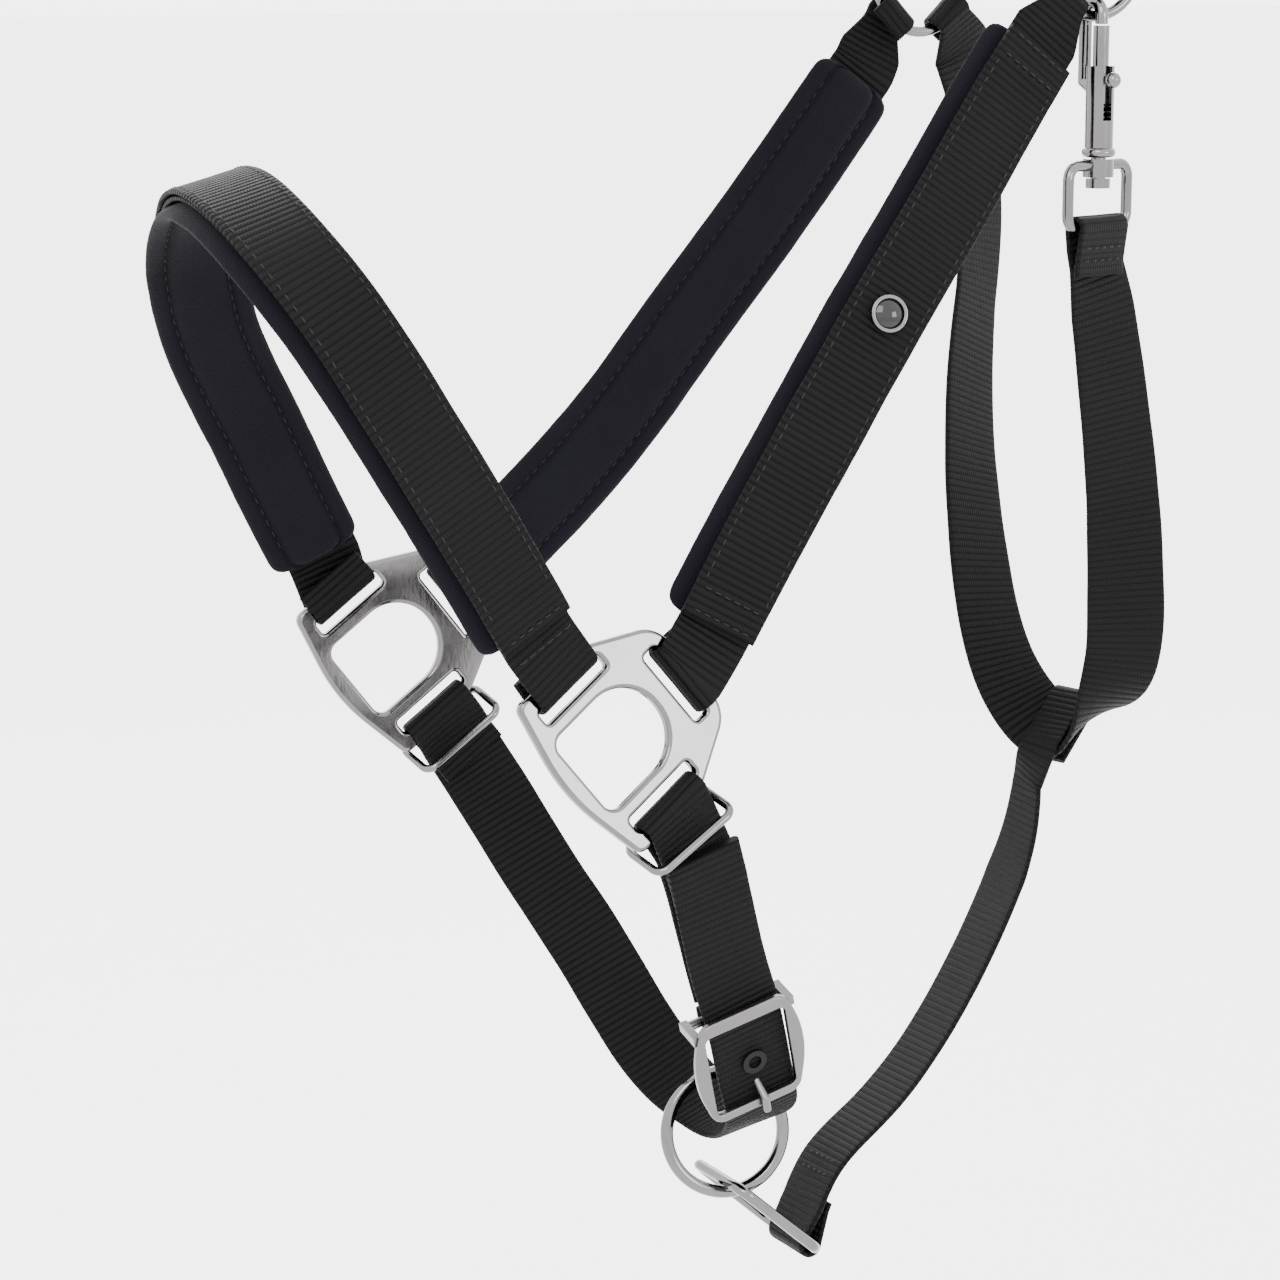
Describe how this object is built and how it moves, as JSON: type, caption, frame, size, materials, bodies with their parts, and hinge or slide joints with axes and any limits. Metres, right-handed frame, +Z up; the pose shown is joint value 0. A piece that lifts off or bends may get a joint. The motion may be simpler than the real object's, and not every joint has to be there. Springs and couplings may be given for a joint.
{
  "type": "horse headcollar",
  "caption": "Adjustable webbing horse headcollar with padded noseband, cheeks and crown, side plates, rings, sliders, buckles and a swivel bolt snap at the throat.",
  "frame": {"origin": "middle of the underside of the crown pad, where the headcollar rests on the poll behind the ears", "axes": "+Z up, the horse faces -X, the horse's near (left) side is -Y"},
  "size_m": [0.3278, 0.1566, 0.5857],
  "materials": {
    "webbing": "ribbed woven webbing, matt black",
    "padding": "soft matt padding, very dark aubergine grey",
    "dark_metal": "polished dark chrome plate",
    "satin_metal": "satin nickel plate",
    "spring_steel": "drawn wire",
    "gloss_black": "glossy black enamel",
    "black_eyelet": "black lacquered eyelet",
    "keeper_black": "moulded black keeper"
  },
  "bodies": {
    "headcollar": {"noseband_core": "webbing", "noseband_cover": "webbing", "noseband_pad": "padding", "near_cheek_core": "webbing", "near_cheek_cover": "webbing", "near_cheek_pad": "padding", "off_cheek_core": "webbing", "off_cheek_cover": "webbing", "off_cheek_pad": "padding", "badge_rim": "dark_metal", "badge_dome": "gloss_black", "near_plate": "dark_metal", "off_plate": "dark_metal", "gullet_strap": "webbing", "throat_strap": "webbing", "chin_strap": "webbing", "chin_billet": "webbing", "chin_buckle_frame": "satin_metal", "chin_eyelet": "black_eyelet", "crown_strap": "webbing", "crown_eyelets": "black_eyelet", "crown_pad": "padding", "crown_billet": "webbing", "crown_buckle_frame": "dark_metal", "snap_eye": "dark_metal"},
    "near_top_ring": {"near_top_ring": "dark_metal"},
    "off_top_ring": {"off_top_ring": "dark_metal"},
    "lead_ring": {"lead_ring": "dark_metal"},
    "gullet_link": {"gullet_link": "dark_metal"},
    "near_slider": {"near_slider": "dark_metal"},
    "off_slider": {"off_slider": "dark_metal"},
    "chin_buckle_tongue": {"chin_buckle_tongue": "satin_metal"},
    "crown_buckle_tongue": {"crown_buckle_tongue": "dark_metal"},
    "crown_buckle_roller": {"crown_buckle_roller": "dark_metal"},
    "crown_keeper": {"crown_keeper": "keeper_black"},
    "snap": {"snap_body": "dark_metal", "snap_spring": "spring_steel"},
    "snap_bolt": {"snap_bolt": "dark_metal"}
  },
  "joints": [
    {"name": "near_top_ring_turn", "type": "hinge", "parent": "headcollar", "child": "near_top_ring", "pos_m": [-0.0034, -0.055, -0.165], "axis": [0, -1, 0], "continuous": true},
    {"name": "off_top_ring_turn", "type": "hinge", "parent": "headcollar", "child": "off_top_ring", "pos_m": [0.003, 0.055, -0.172], "axis": [0, -1, 0], "continuous": true},
    {"name": "lead_ring_turn", "type": "hinge", "parent": "headcollar", "child": "lead_ring", "pos_m": [-0.1124, -0.02, -0.5348], "axis": [-0.2215, -0.9588, 0.1776], "continuous": true},
    {"name": "gullet_link_swing", "type": "hinge", "parent": "headcollar", "child": "gullet_link", "pos_m": [-0.08659, -0.021, -0.57448], "axis": [0, 1, 0], "range_deg": [0, 6]},
    {"name": "near_slider_move", "type": "slide", "parent": "headcollar", "child": "near_slider", "axis": [-0.4203, -0.1101, 0.9007], "range_m": [-0.003, 0]},
    {"name": "off_slider_move", "type": "slide", "parent": "headcollar", "child": "off_slider", "axis": [-0.5206, 0.0701, 0.8509], "range_m": [-0.004, 0]},
    {"name": "chin_tongue_rock", "type": "hinge", "parent": "headcollar", "child": "chin_buckle_tongue", "pos_m": [-0.13135, -0.06008, -0.47941], "axis": [-0.9511, 0.095, -0.294], "range_deg": [0, 1]},
    {"name": "crown_tongue_lift", "type": "hinge", "parent": "headcollar", "child": "crown_buckle_tongue", "pos_m": [-0.003, -0.06205, -0.11486], "axis": [1, 0, 0], "range_deg": [0, 70]},
    {"name": "crown_roller_spin", "type": "hinge", "parent": "headcollar", "child": "crown_buckle_roller", "pos_m": [-0.003, -0.06395, -0.09114], "axis": [1, 0, 0], "continuous": true},
    {"name": "crown_keeper_move", "type": "slide", "parent": "headcollar", "child": "crown_keeper", "axis": [0, 0, 1], "range_m": [-0.005, 0.005]},
    {"name": "snap_swivel", "type": "hinge", "parent": "headcollar", "child": "snap", "pos_m": [-0.0034, -0.05925, -0.1816], "axis": [0, 0, 1], "range_deg": [-10, 10]},
    {"name": "snap_bolt_slide", "type": "slide", "parent": "snap", "child": "snap_bolt", "axis": [0, 0, -1], "range_m": [0, 0.006], "stiffness_N_per_m": 400, "springref_m": -0.004, "deforming": ["snap_spring"]}
  ]
}
